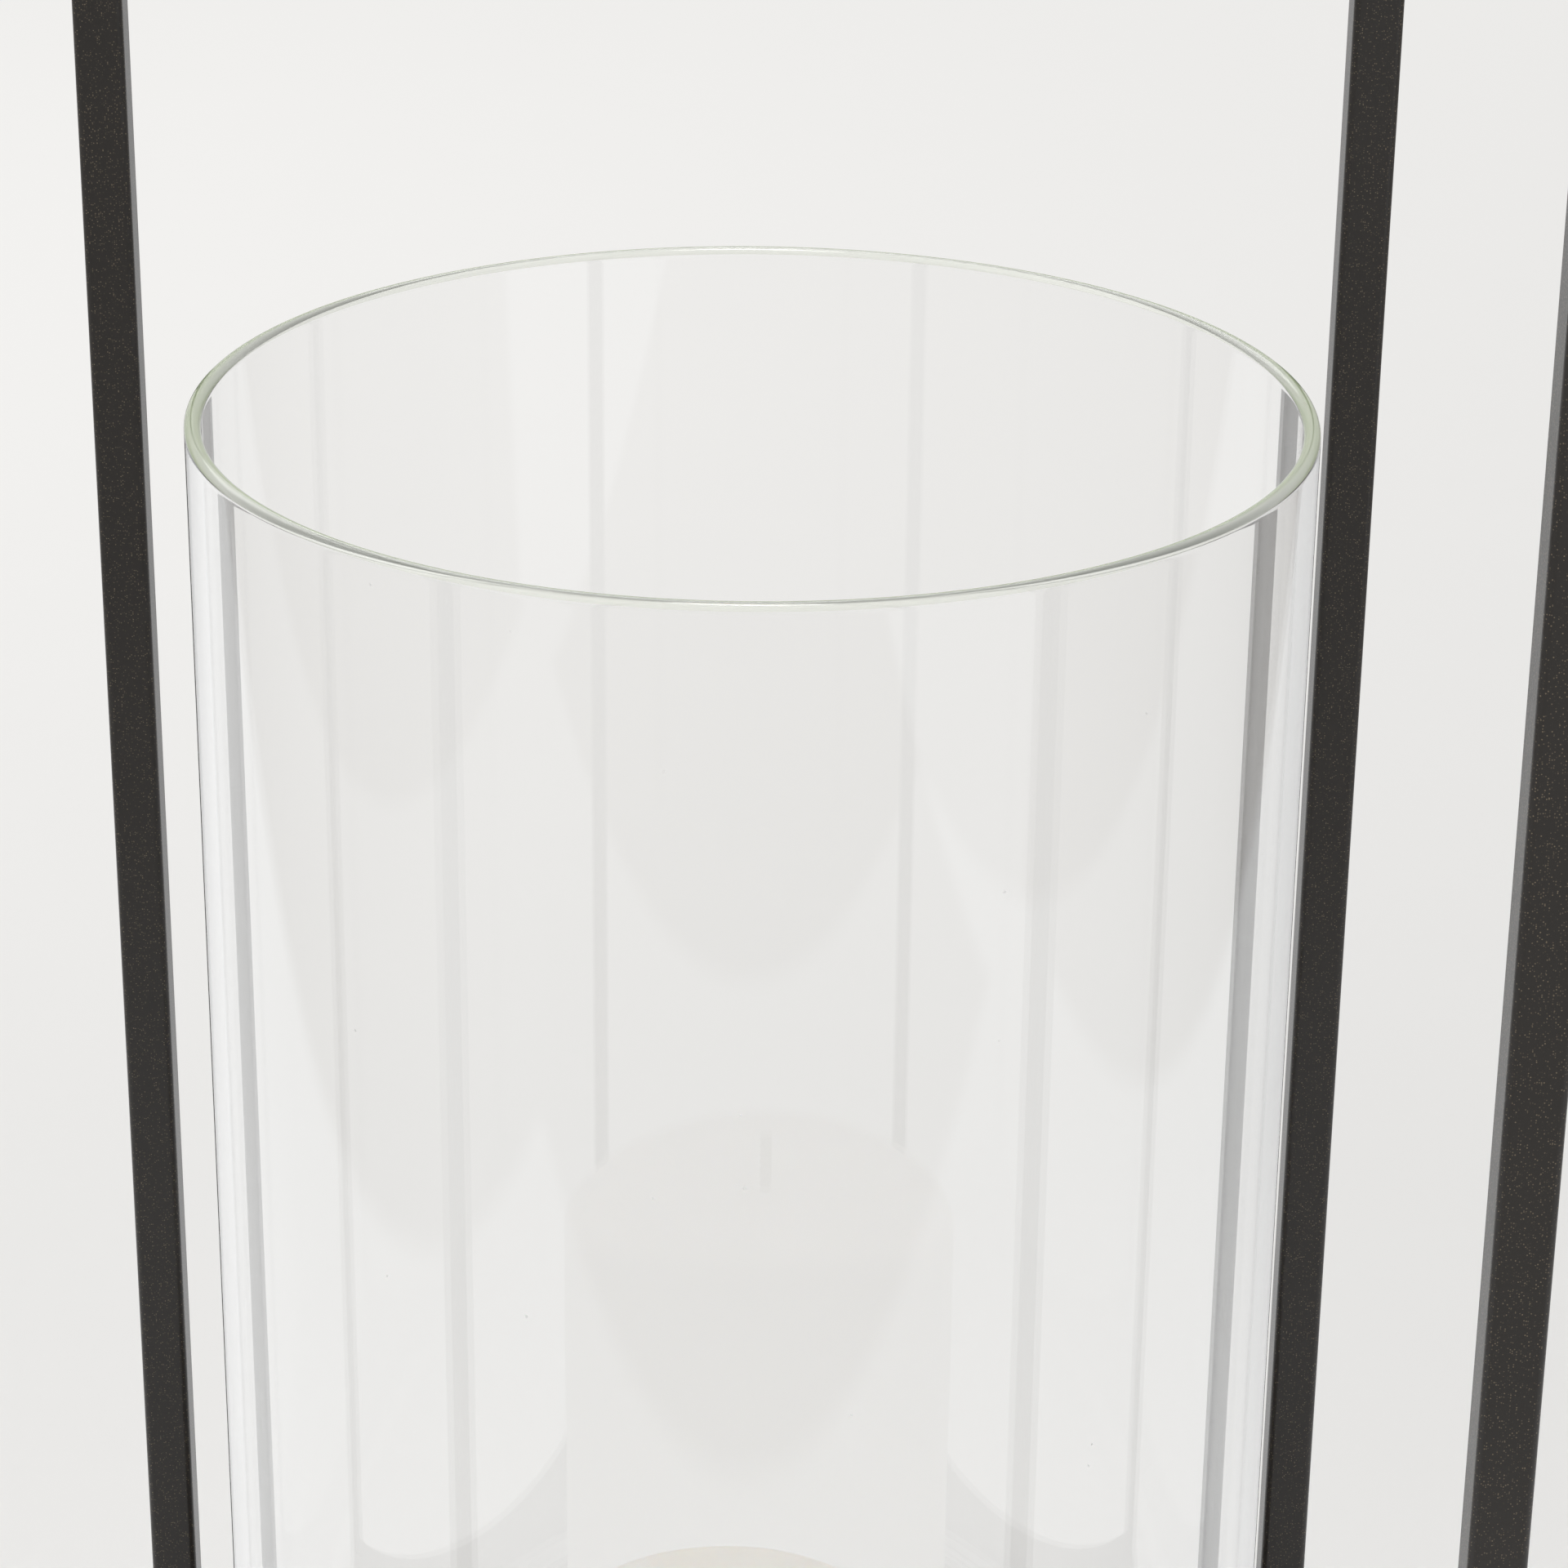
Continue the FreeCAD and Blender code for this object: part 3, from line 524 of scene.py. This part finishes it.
class LANTERN_OT_candle(bpy.types.Operator):
    """Casts the pillar candle with its rounded edges, the hollow round the wick and the spike's hole"""

    bl_idname = "lantern.candle"
    bl_label = "Candle"

    def execute(self, context):
        sizes = context.scene.lantern_sizes
        uneven, sag = sizes.candle_unevenness, sizes.candle_sag
        radius = (CANDLE_HIGH.x - CANDLE_LOW.x) / 2 - uneven
        shoulder, pool = sizes.candle_shoulder, sizes.candle_pool
        bottom, top = CANDLE_LOW.z, CANDLE_HIGH.z - uneven
        hole, hole_top = sizes.candle_hole, SPIKE_HIGH.z + sizes.candle_hole_head
        foot = shoulder / 3
        lip_sag = sag * 0.6
        # Radius of a ring on the flat underside, and radius within which the top stays true
        underside, still = radius * 0.6, pool * 0.5
        side_low, side_high = bottom + foot, top - shoulder
        around, side_steps, dip_steps, shoulder_steps, foot_steps = 160, 24, 10, 8, 5
        side = [
            (radius, side_low + (side_high - side_low) * i / side_steps) for i in range(1, side_steps)
        ]
        pool_floor = top - sizes.candle_pool_depth
        dip = []
        for i in range(1, dip_steps):
            share = i / dip_steps
            sunk = math.sin(math.pi / 2 * share) ** 2
            dip.append((pool * (1 - share), top - (top - pool_floor) * sunk))
        outline = [
            (0, hole_top),
            (hole, hole_top),
            (hole, bottom),
            (underside, bottom),
            *arc(radius - foot, bottom + foot, foot, -90, 0, foot_steps),
            *side,
            *arc(radius - shoulder, top - shoulder, shoulder, 0, 90, shoulder_steps),
            (pool + sizes.candle_lip, top - lip_sag),
            (pool, top - sag),
            *dip,
            (0, pool_floor),
        ]

        def wander(point):
            """Moves the wax a little, but not near the wick nor where the candle stands."""
            reach = math.hypot(point.x, point.y)
            if reach < still or point.z < side_low:
                return Vector((0, 0, 0))
            return noise.noise_vector(point / sizes.candle_wave) * uneven

        # Without a seed the noise would differ from run to run
        wax_seed = 7
        noise.seed_set(wax_seed)
        mesh = lathe("pillar_candle", outline, CANDLE_AXIS, around, closed=False, wander=wander)
        add_piece("pillar_candle", mesh, "candle", "candle_wax", "candle_body")
        return {"FINISHED"}


def new_tree(name, **inputs):
    """A geometry node tree that takes and gives geometry, and the sockets that bring its inputs."""
    tree = bpy.data.node_groups.new(name, "GeometryNodeTree")
    tree.interface.new_socket("Geometry", in_out="INPUT", socket_type="NodeSocketGeometry")
    for title, kind in inputs.items():
        tree.interface.new_socket(title, in_out="INPUT", socket_type="NodeSocket" + kind)
    tree.interface.new_socket("Geometry", in_out="OUTPUT", socket_type="NodeSocketGeometry")
    return tree, add_node(tree, "NodeGroupInput").outputs


def join(tree, *shapes):
    """All the shapes as one geometry."""
    joined = add_node(tree, "GeometryNodeJoinGeometry")
    for shape in shapes:
        tree.links.new(shape, joined.inputs["Geometry"])
    return joined.outputs["Geometry"]


def end_tree(tree, start, shapes):
    """Closes a tree: instances made real, shaded smooth, given their material."""
    real = add_node(tree, "GeometryNodeRealizeInstances", {"Geometry": shapes})
    smooth = add_node(tree, "GeometryNodeSetShadeSmooth", {"Geometry": real.outputs["Geometry"]})
    dressed = add_node(
        tree, "GeometryNodeSetMaterial",
        {"Geometry": smooth.outputs["Geometry"], "Material": start["Material"]},
    )
    add_node(tree, "NodeGroupOutput", {"Geometry": dressed.outputs["Geometry"]})


def grow(name, tree, points, edges, **values):
    """Runs a tree on points and edges and gives the result as a plain mesh."""
    seed_mesh = bpy.data.meshes.new(name + "_path")
    seed_mesh.from_pydata(points, edges, [])
    holder = bpy.data.objects.new(name + "_path", seed_mesh)
    bpy.context.scene.collection.objects.link(holder)
    modifier = holder.modifiers.new(name, "NODES")
    modifier.node_group = tree
    for item in tree.interface.items_tree:
        if item.item_type == "SOCKET" and item.in_out == "INPUT" and item.name in values:
            modifier[item.identifier] = values[item.name]
    depsgraph = bpy.context.evaluated_depsgraph_get()
    mesh = bpy.data.meshes.new_from_object(holder.evaluated_get(depsgraph), depsgraph=depsgraph)
    mesh.name = name
    holder.modifiers.clear()
    bpy.data.objects.remove(holder)
    bpy.data.meshes.remove(seed_mesh)
    if not mesh.polygons:
        raise RuntimeError(name + " came out empty")
    return mesh


class LANTERN_OT_wick(bpy.types.Operator):
    """Twists the wick from three strands that follow its path"""

    bl_idname = "lantern.wick"
    bl_label = "Wick"

    def execute(self, context):
        sizes = context.scene.lantern_sizes
        wick_radius = (WICK_HIGH.x - WICK_LOW.x) / 2
        strand = wick_radius * 0.5
        points = [(0, 0, WICK_LOW.z + strand), (0, 0, WICK_HIGH.z - strand)]
        mesh = grow(
            "twisted_wick", self.strand_tree(), points, [(0, 1)], Strand=strand, Coil=wick_radius - strand,
            Turns=(WICK_HIGH.z - WICK_LOW.z) / sizes.wick_pitch, Material=finish("wick_cotton"),
        )
        add_piece("twisted_wick", mesh, "candle", "wick_cotton", "candle_wick")
        return {"FINISHED"}

    def strand_tree(self):
        """Round strands that wind about the path, evenly spaced round it."""
        strands, path_points, section_points = 3, 320, 10
        tree, start = new_tree(
            "wick_strands", Strand="Float", Coil="Float", Turns="Float", Material="Material"
        )
        path = add_node(tree, "GeometryNodeMeshToCurve", {"Mesh": start["Geometry"]})
        fine = add_node(
            tree, "GeometryNodeResampleCurve", {"Curve": path.outputs["Curve"], "Count": path_points}
        )
        along = add_node(tree, "GeometryNodeSplineParameter").outputs["Factor"]
        turned = calculate(tree, "MULTIPLY", along, start["Turns"])
        section = add_node(
            tree, "GeometryNodeCurvePrimitiveCircle",
            {"Resolution": section_points, "Radius": start["Strand"]},
        )
        tubes = []
        for strand in range(strands):
            turn = calculate(tree, "MULTIPLY_ADD", turned, FULL_TURN, FULL_TURN * strand / strands)
            sides = [
                calculate(tree, "MULTIPLY", calculate(tree, wave, turn), start["Coil"])
                for wave in ("COSINE", "SINE")
            ]
            offset = add_node(tree, "ShaderNodeCombineXYZ", {"X": sides[0], "Y": sides[1]})
            bent = add_node(
                tree, "GeometryNodeSetPosition",
                {"Geometry": fine.outputs["Curve"], "Offset": offset.outputs["Vector"]},
            )
            tube = add_node(
                tree, "GeometryNodeCurveToMesh",
                {"Curve": bent.outputs["Geometry"], "Profile Curve": section.outputs["Curve"],
                 "Fill Caps": True},
            )
            tubes.append(tube.outputs["Mesh"])
        end_tree(tree, start, join(tree, *tubes))
        return tree


class LANTERN_OT_welds(bpy.types.Operator):
    """Lays rippled weld beads where the rails meet the posts"""

    bl_idname = "lantern.welds"
    bl_label = "Weld beads"

    def execute(self, context):
        sizes = context.scene.lantern_sizes
        points, edges = [], []
        for start, end in self.bead_paths(sizes.weld_radius, sizes.weld_sink):
            edges.append((len(points), len(points) + 1))
            points += [start, end]
        mesh = grow(
            "weld_beads", self.bead_tree(), points, edges, Pitch=sizes.weld_pitch, Radius=sizes.weld_radius,
            Seed=4, Material=finish("charcoal_powder_coat"),
        )
        add_piece("weld_beads", mesh, "frame", "charcoal_powder_coat")
        return {"FINISHED"}

    def bead_paths(self, bead, sink):
        """Start and end of each bead: outside and inside each joint, and under the top rails."""
        inner, outer = POST_LOW.x, POST_HIGH.x
        groove = inner + sink
        # Ground back until it stands just inside the outer face, and clear of the rail's rounded top
        skin_gap, top_gap = 0.02 * MM, 0.3 * MM
        skin = outer - bead - skin_gap
        corners = [(x_sign, y_sign) for x_sign in (-1, 1) for y_sign in (-1, 1)]
        paths = []
        for low, high in ((TOP_RAIL_LOW.z, TOP_RAIL_HIGH.z), (LOW_RAIL_LOW.z, LOW_RAIL_HIGH.z)):
            start, end = low + bead, high - bead - top_gap
            for x_sign, y_sign in corners:
                for x, y in ((groove, skin), (skin, groove), (inner, inner)):
                    x, y = x * x_sign, y * y_sign
                    paths.append(((x, y, start), (x, y, end)))
        under = TOP_RAIL_LOW.z
        near, far = inner + bead, outer - bead
        for x_sign, y_sign in corners:
            x, y = inner * x_sign, inner * y_sign
            paths.append(((x, near * y_sign, under), (x, far * y_sign, under)))
            paths.append(((near * x_sign, y, under), (far * x_sign, y, under)))
        return paths

    def bead_tree(self):
        """Ripples of slightly different sizes, set close together along each path."""
        smallest, largest = 0.82, 1.0
        tree, start = new_tree(
            "weld_ripples", Pitch="Float", Radius="Float", Seed="Int", Material="Material"
        )
        path = add_node(tree, "GeometryNodeMeshToCurve", {"Mesh": start["Geometry"]})
        steps = add_node(
            tree, "GeometryNodeCurveToPoints", {"Curve": path.outputs["Curve"], "Length": start["Pitch"]},
            mode="LENGTH",
        )
        ripple = add_node(tree, "GeometryNodeMeshIcoSphere", {"Subdivisions": 2, "Radius": start["Radius"]})
        # Inputs 2 and 3 and output 1 of the random value node are those of plain numbers
        size = add_node(
            tree, "FunctionNodeRandomValue", {2: smallest, 3: largest, "Seed": start["Seed"]},
            data_type="FLOAT",
        )
        beads = add_node(
            tree, "GeometryNodeInstanceOnPoints",
            {"Points": steps.outputs["Points"], "Instance": ripple.outputs["Mesh"],
             "Rotation": steps.outputs["Rotation"], "Scale": size.outputs[1]},
        )
        end_tree(tree, start, beads.outputs["Instances"])
        return tree


class LANTERN_OT_rivets(bpy.types.Operator):
    """Sets the domed rivets that hold the base plate on the bottom rails"""

    bl_idname = "lantern.rivets"
    bl_label = "Rivets"

    def execute(self, context):
        sizes = context.scene.lantern_sizes
        middle = (POST_LOW.x + POST_HIGH.x) / 2
        spread = sizes.rivet_spacing
        places = []
        for along in (-spread, spread):
            for across in (-middle, middle):
                places += [(along, across, PLATE_HIGH.z), (across, along, PLATE_HIGH.z)]
        mesh = grow(
            "plate_rivets", self.rivet_tree(), places, [], Head=sizes.rivet_head, Shank=sizes.rivet_shank,
            Dome=RIVETS_HIGH.z - PLATE_HIGH.z, Grip=PLATE_HIGH.z - RIVETS_LOW.z,
            Material=finish("charcoal_powder_coat"),
        )
        add_piece("plate_rivets", mesh, "frame", "charcoal_powder_coat", "base_plate_rivets")
        return {"FINISHED"}

    def rivet_tree(self):
        """A flattened half ball on a round shank, at each place."""
        shank_sides = 24
        tree, start = new_tree(
            "domed_rivets", Head="Float", Shank="Float", Dome="Float", Grip="Float", Material="Material"
        )
        flat = add_node(
            tree, "ShaderNodeCombineXYZ", {"X": start["Head"], "Y": start["Head"], "Z": start["Dome"]}
        )
        dome = add_node(
            tree, "GeometryNodeTransform",
            {"Geometry": self.half_ball(tree), "Scale": flat.outputs["Vector"]},
        )
        pin = add_node(
            tree, "GeometryNodeMeshCylinder",
            {"Vertices": shank_sides, "Radius": start["Shank"], "Depth": start["Grip"]},
        )
        drop = calculate(tree, "MULTIPLY", start["Grip"], -0.5)
        down = add_node(tree, "ShaderNodeCombineXYZ", {"Z": drop})
        shank = add_node(
            tree, "GeometryNodeTransform",
            {"Geometry": pin.outputs["Mesh"], "Translation": down.outputs["Vector"]},
        )
        rivet = join(tree, dome.outputs["Geometry"], shank.outputs["Geometry"])
        spots = add_node(tree, "GeometryNodeMeshToPoints", {"Mesh": start["Geometry"]})
        rivets = add_node(
            tree, "GeometryNodeInstanceOnPoints", {"Points": spots.outputs["Points"], "Instance": rivet}
        )
        end_tree(tree, start, rivets.outputs["Instances"])
        return tree

    def half_ball(self, tree):
        """Upper half of a ball of radius 1, closed below by a flat disc."""
        around, rings = 40, 20
        seam = 0.001
        ball = add_node(
            tree, "GeometryNodeMeshUVSphere", {"Segments": around, "Rings": rings, "Radius": 1.0}
        )
        place = add_node(tree, "GeometryNodeInputPosition").outputs["Position"]
        height = add_node(tree, "ShaderNodeSeparateXYZ", {"Vector": place}).outputs["Z"]
        half = add_node(
            tree, "GeometryNodeDeleteGeometry",
            {"Geometry": ball.outputs["Mesh"], "Selection": calculate(tree, "LESS_THAN", height, 0.0)},
            domain="FACE",
        )
        disc = add_node(
            tree, "GeometryNodeMeshCircle", {"Vertices": around, "Radius": 1.0}, fill_type="NGON"
        )
        underside = add_node(tree, "GeometryNodeFlipFaces", {"Mesh": disc.outputs["Mesh"]})
        shell = join(tree, half.outputs["Geometry"], underside.outputs["Mesh"])
        closed = add_node(tree, "GeometryNodeMergeByDistance", {"Geometry": shell, "Distance": seam})
        return closed.outputs["Geometry"]


class LANTERN_OT_stage(bpy.types.Operator):
    """Sets the paper floor, the mirrored table, the even light, four softboxes and the camera"""

    bl_idname = "lantern.stage"
    bl_label = "Stage"

    def execute(self, context):
        stage, colours = context.scene.lantern_stage, context.scene.lantern_colours
        self.add_floor(context, stage, colours)
        self.light_world(context, stage, colours)
        aim_height = GLASS_HIGH.z * 0.6
        lantern = (GLASS_AXIS.x, GLASS_AXIS.y, aim_height)
        behind = (0.0, 1.0, 0.1)
        wide, gridded = 180, 24
        # Name, place, aim, width in metres, spread in degrees, power
        for lamp in (
            ("key_softbox", (-1.6, -0.2, 1.4), lantern, 1.3, wide, stage.key_power),
            ("fill_softbox", (1.4, -0.5, 1.4), lantern, 1.1, wide, stage.fill_power),
            ("back_softbox", (-0.6, 1.7, 1.9), behind, 1.8, wide, stage.back_power),
            ("top_softbox", (0.0, 0.0, 1.9), lantern, 0.45, gridded, stage.top_power),
        ):
            self.add_softbox(context, *lamp)
        self.add_camera(context, stage)
        context.scene.view_settings.view_transform = "Standard"
        return {"FINISHED"}

    def add_floor(self, context, stage, colours):
        """Lays the paper that the lantern stands on, and the sheet below it that reflections show."""
        half = stage.floor_reach
        outline = ((-half, -half), (half, -half), (half, half), (-half, half))
        for name, height, material in (
            ("paper_floor", 0.0, self.paper(stage, colours)),
            ("mirrored_table", -stage.table_drop, self.mirrored_studio(stage, colours)),
        ):
            mesh = bpy.data.meshes.new(name)
            mesh.from_pydata([(x, y, height) for x, y in outline], [], [(0, 1, 2, 3)])
            mesh.materials.append(material)
            sheet = bpy.data.objects.new(name, mesh)
            context.scene.collection.objects.link(sheet)

    def paper(self, stage, colours):
        """Matt white paper with a fine tooth, which lets a mirrored ray through to the studio's table."""
        material, tree, place = new_material("Matt_paper_white")
        tooth = mottle(tree, place, millimetres=60.0, detail=4.0)
        sheet = blend(tree, tooth, with_alpha(colours.floor, 0.99), with_alpha(colours.floor))
        paper = add_node(
            tree, "ShaderNodeBsdfPrincipled",
            {"Base Color": sheet, "Roughness": 0.9, "Specular IOR Level": 0.1},
        )
        # Far from the lantern the paper turns into the plain backdrop, so that no horizon shows
        reach = add_node(tree, "ShaderNodeVectorMath", {0: place}, operation="LENGTH").outputs["Value"]
        far = remap(tree, reach, start=stage.paper_near, end=stage.paper_far, curve="SMOOTHSTEP")
        path = add_node(tree, "ShaderNodeLightPath")
        fade = calculate(tree, "MULTIPLY", far, self.seen_rays(tree, path))
        backdrop = add_node(
            tree, "ShaderNodeEmission", {"Color": with_alpha(colours.floor), "Strength": 1.0}
        )
        ground = add_node(
            tree, "ShaderNodeMixShader",
            {0: fade, 1: paper.outputs["BSDF"], 2: backdrop.outputs["Emission"]},
        )
        # One mirror only, so that light caught in the rim stays as it is
        once, slack = 1.0, 0.5
        mirrored = calculate(tree, "COMPARE", path.outputs["Glossy Depth"], once, slack)
        through = add_node(tree, "ShaderNodeBsdfTransparent")
        shown = add_node(
            tree, "ShaderNodeMixShader",
            {0: mirrored, 1: ground.outputs["Shader"], 2: through.outputs["BSDF"]},
        )
        add_node(tree, "ShaderNodeOutputMaterial", {"Surface": shown.outputs["Shader"]})
        material.cycles.emission_sampling = "NONE"
        return material

    def mirrored_studio(self, stage, colours):
        """White table and board in a greyer studio, which only mirrored rays reach."""
        material, tree, place = new_material("Studio_white_and_grey")
        table, board = (self.bright_area(tree, place, edges) for edges in (TABLE_EDGES, BOARD_EDGES))
        bright = calculate(tree, "MAXIMUM", table, board)
        # The light falls off towards the back right, between these distances in metres
        fall_near, fall_far = 0.2, 0.9
        back_right = (0.71, 0.71, 0.0)
        level = remap(
            tree, distance_along(tree, place, back_right),
            low=stage.mirror_level, high=stage.mirror_corner, start=fall_near, end=fall_far,
        )
        glow = add_node(
            tree, "ShaderNodeEmission",
            {"Color": blend(tree, bright, with_alpha(colours.surround), WHITE), "Strength": level},
        )
        add_node(tree, "ShaderNodeOutputMaterial", {"Surface": glow.outputs["Emission"]})
        material.cycles.emission_sampling = "NONE"
        return material

    def bright_area(self, tree, place, edges):
        """A mask that is 1 on the inner side of each edge, with a soft step."""
        soft = 16 * MM
        inside = 1.0
        for across_x, across_y, level in edges:
            reach = distance_along(tree, place, (across_x, across_y, 0))
            step = remap(tree, reach, start=level - soft, end=level + soft)
            inside = calculate(tree, "MULTIPLY", inside, step)
        return inside

    def seen_rays(self, tree, path):
        """1 for rays that bring the backdrop to the eye: straight, mirrored or through glass."""
        seen = path.outputs["Is Camera Ray"]
        for kind in ("Is Glossy Ray", "Is Transmission Ray"):
            seen = calculate(tree, "MAXIMUM", seen, path.outputs[kind])
        return seen

    def light_world(self, context, stage, colours):
        """Even white light from all round, which the eye sees as the plain backdrop."""
        world = bpy.data.worlds.new("studio")
        world.use_nodes = True
        tree = world.node_tree
        tree.nodes.clear()
        seen = self.seen_rays(tree, add_node(tree, "ShaderNodeLightPath"))
        light = add_node(tree, "ShaderNodeBackground", {"Color": WHITE, "Strength": stage.world_level})
        backdrop = add_node(
            tree, "ShaderNodeBackground", {"Color": with_alpha(colours.floor), "Strength": 1.0}
        )
        both = add_node(
            tree, "ShaderNodeMixShader",
            {0: seen, 1: light.outputs["Background"], 2: backdrop.outputs["Background"]},
        )
        add_node(tree, "ShaderNodeOutputWorld", {"Surface": both.outputs["Shader"]})
        context.scene.world = world

    def add_softbox(self, context, name, place, aim, width, spread, power):
        """Hangs a square lamp at a place and turns it to what it lights."""
        lamp = bpy.data.lights.new(name, "AREA")
        lamp.shape = "SQUARE"
        lamp.size = width
        lamp.energy = power
        lamp.spread = math.radians(spread)
        holder = bpy.data.objects.new(name, lamp)
        holder.location = place
        holder.rotation_euler = (Vector(aim) - Vector(place)).to_track_quat("-Z", "Y").to_euler()
        context.scene.collection.objects.link(holder)

    def add_camera(self, context, stage):
        """Places the camera where the photo was taken from."""
        lens = bpy.data.cameras.new("photo_camera")
        lens.sensor_width = 36.0
        lens.lens = stage.camera_lens
        lens.clip_start = 0.01
        holder = bpy.data.objects.new("photo_camera", lens)
        spot = Vector((GLASS_AXIS.x, GLASS_AXIS.y, GLASS_HIGH.z))
        spot += Vector((0.0, -stage.camera_distance, stage.camera_rise))
        turn = (
            Matrix.Rotation(-stage.camera_yaw, 4, "Z")
            @ Matrix.Rotation(math.pi / 2 - stage.camera_pitch, 4, "X")
            @ Matrix.Rotation(stage.camera_roll, 4, "Z")
        )
        holder.matrix_world = Matrix.Translation(spot) @ turn
        context.scene.collection.objects.link(holder)
        context.scene.camera = holder


class LANTERN_PT_sidebar(bpy.types.Panel):
    """Lists the lantern's steps and settings in the sidebar"""

    bl_idname = "LANTERN_PT_sidebar"
    bl_label = "Lantern"
    bl_space_type = "VIEW_3D"
    bl_region_type = "UI"
    bl_category = "Lantern"

    def draw(self, context):
        for operator in OPERATORS:
            self.layout.operator(operator.bl_idname)
        scene = context.scene
        for group in (scene.lantern_sizes, scene.lantern_colours, scene.lantern_stage):
            column = self.layout.column()
            for name in group.bl_rna.properties.keys():
                if name not in ("rna_type", "name"):
                    column.prop(group, name)


OPERATORS = (
    LANTERN_OT_stage,
    LANTERN_OT_finishes,
    LANTERN_OT_glass,
    LANTERN_OT_candle,
    LANTERN_OT_wick,
    LANTERN_OT_welds,
    LANTERN_OT_rivets,
)
CLASSES = (LanternSizes, LanternColours, LanternStage, *OPERATORS, LANTERN_PT_sidebar)


def register():
    """Adds the lantern's settings, steps and panel."""
    for kind in CLASSES:
        bpy.utils.register_class(kind)
    bpy.types.Scene.lantern_sizes = bpy.props.PointerProperty(type=LanternSizes)
    bpy.types.Scene.lantern_colours = bpy.props.PointerProperty(type=LanternColours)
    bpy.types.Scene.lantern_stage = bpy.props.PointerProperty(type=LanternStage)


def unregister():
    """Takes away what register added."""
    for name in ("lantern_stage", "lantern_colours", "lantern_sizes"):
        delattr(bpy.types.Scene, name)
    for kind in reversed(CLASSES):
        bpy.utils.unregister_class(kind)


def main():
    """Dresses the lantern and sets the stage."""
    register()
    bpy.ops.lantern.stage()
    bpy.ops.lantern.finishes()
    bpy.ops.lantern.glass()
    bpy.ops.lantern.candle()
    bpy.ops.lantern.wick()
    bpy.ops.lantern.welds()
    bpy.ops.lantern.rivets()


if __name__ == "__main__":
    main()
